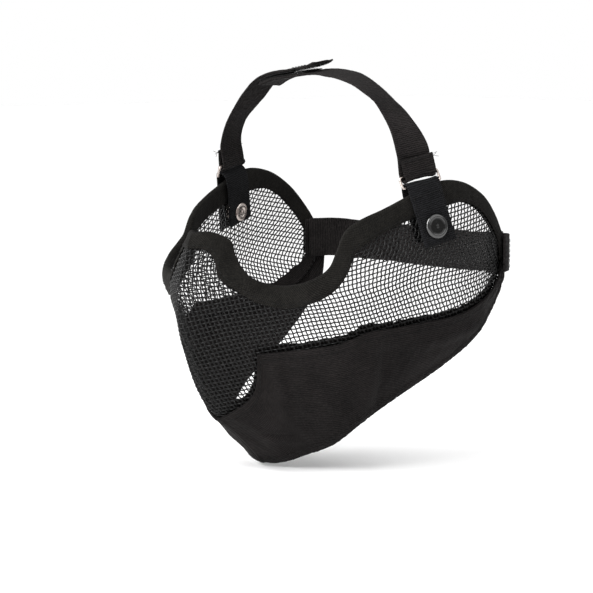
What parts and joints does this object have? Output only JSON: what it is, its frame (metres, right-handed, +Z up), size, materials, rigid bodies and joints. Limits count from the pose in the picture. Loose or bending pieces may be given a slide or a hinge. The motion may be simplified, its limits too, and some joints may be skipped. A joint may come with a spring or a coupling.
{
  "type": "half-face mesh mask",
  "caption": "Half-face mask of curved woven wire mesh with ear cups, a cloth jaw cover, snap tabs, and elastic straps over the head and behind it.",
  "frame": {"origin": "middle of the wearer's head, on the face's middle plane and level with the ears", "axes": "+Z up, the wearer looks along -Y, +X is the wearer's left"},
  "size_m": [0.1976, 0.2357, 0.2457],
  "materials": {
    "mesh_steel": "thin black coating, satin",
    "binding": "woven tape, matte",
    "nylon": "ribbed nylon cloth, slight sheen",
    "elastic": "ribbed elastic webbing, matte",
    "hook_and_loop": "hook and loop fastener, fuzzy",
    "nickel": "nickel plated wire and stampings",
    "snap_black": "gloss black enamel"
  },
  "bodies": {
    "mask": {"face_mesh": "mesh_steel", "brow_tape": "binding", "chin_seam_tape": "binding", "ear_mesh_left": "mesh_steel", "ear_mesh_right": "mesh_steel", "ear_rim_tape_left": "binding", "ear_rim_tape_right": "binding", "jaw_cover_left": "nylon", "jaw_cover_right": "nylon", "tab_left": "nylon", "tab_right": "nylon", "snap_stud_left": "nickel", "snap_stud_right": "nickel", "snap_washer_left": "nickel", "snap_washer_right": "nickel", "rear_anchor_left": "elastic", "rear_anchor_right": "elastic"},
    "flap_left": {"tab_flap_left": "nylon", "snap_cap_left": "snap_black", "snap_socket_left": "nickel"},
    "flap_right": {"tab_flap_right": "nylon", "snap_cap_right": "snap_black", "snap_socket_right": "nickel"},
    "ring_left": {"strap_ring_left": "nickel"},
    "ring_right": {"strap_ring_right": "nickel"},
    "crown_left": {"crown_strap_left": "elastic", "crown_loop_patch": "hook_and_loop"},
    "crown_right": {"crown_strap_right": "elastic", "crown_hook_patch": "hook_and_loop"},
    "crown_tail": {"crown_tail": "elastic"},
    "nape_left": {"nape_strap_left": "elastic", "nape_loop_patch": "hook_and_loop"},
    "nape_right": {"nape_strap_right": "elastic", "nape_hook_patch": "hook_and_loop"},
    "nape_tail": {"nape_tail": "elastic"}
  },
  "joints": [
    {"name": "snap_flap_left_open", "type": "hinge", "parent": "mask", "child": "flap_left", "pos_m": [0.0876, -0.022, 0.0459], "axis": [-0.2304, -0.9544, -0.1897], "range_deg": [0, 70]},
    {"name": "snap_flap_right_open", "type": "hinge", "parent": "mask", "child": "flap_right", "pos_m": [-0.0876, -0.022, 0.0459], "axis": [-0.2304, 0.9544, 0.1897], "range_deg": [0, 70]},
    {"name": "ring_right_tilt", "type": "hinge", "parent": "mask", "child": "ring_right", "pos_m": [-0.0876, -0.022, 0.0459], "axis": [0.2304, -0.9544, -0.1897], "range_deg": [0, 17]},
    {"name": "ring_left_tilt", "type": "hinge", "parent": "mask", "child": "ring_left", "pos_m": [0.0876, -0.022, 0.0459], "axis": [0.2304, 0.9544, 0.1897], "range_deg": [0, 6]},
    {"name": "crown_right_open", "type": "hinge", "parent": "ring_right", "child": "crown_right", "pos_m": [-0.0849, -0.0226, 0.0522], "axis": [0.2304, -0.9544, -0.1897], "range_deg": [0, 55]},
    {"name": "crown_left_open", "type": "hinge", "parent": "ring_left", "child": "crown_left", "pos_m": [0.0849, -0.0226, 0.0522], "axis": [0.2304, 0.9544, 0.1897], "range_deg": [0, 14]},
    {"name": "crown_tail_peel", "type": "hinge", "parent": "crown_right", "child": "crown_tail", "pos_m": [-0.01751, -0.02135, 0.11397], "axis": [0, -0.9901, -0.14], "range_deg": [0, 80]},
    {"name": "nape_right_open", "type": "hinge", "parent": "mask", "child": "nape_right", "pos_m": [-0.07688, 0.05925, 0.001], "axis": [0, 0, 1], "range_deg": [0, 55]},
    {"name": "nape_left_open", "type": "hinge", "parent": "mask", "child": "nape_left", "pos_m": [0.07688, 0.05925, 0.001], "axis": [0, 0, -1], "range_deg": [0, 17]},
    {"name": "nape_tail_peel", "type": "hinge", "parent": "nape_right", "child": "nape_tail", "pos_m": [-0.01247, 0.09665, -0.00478], "axis": [0, 0, 1], "range_deg": [0, 80]}
  ],
  "couplings": [
    {"joint": "ring_right_tilt", "follows": "crown_right_open", "ratio": 0.3},
    {"joint": "crown_left_open", "follows": "crown_right_open", "ratio": 0.25},
    {"joint": "ring_left_tilt", "follows": "crown_right_open", "ratio": 0.1},
    {"joint": "nape_left_open", "follows": "nape_right_open", "ratio": 0.3}
  ]
}
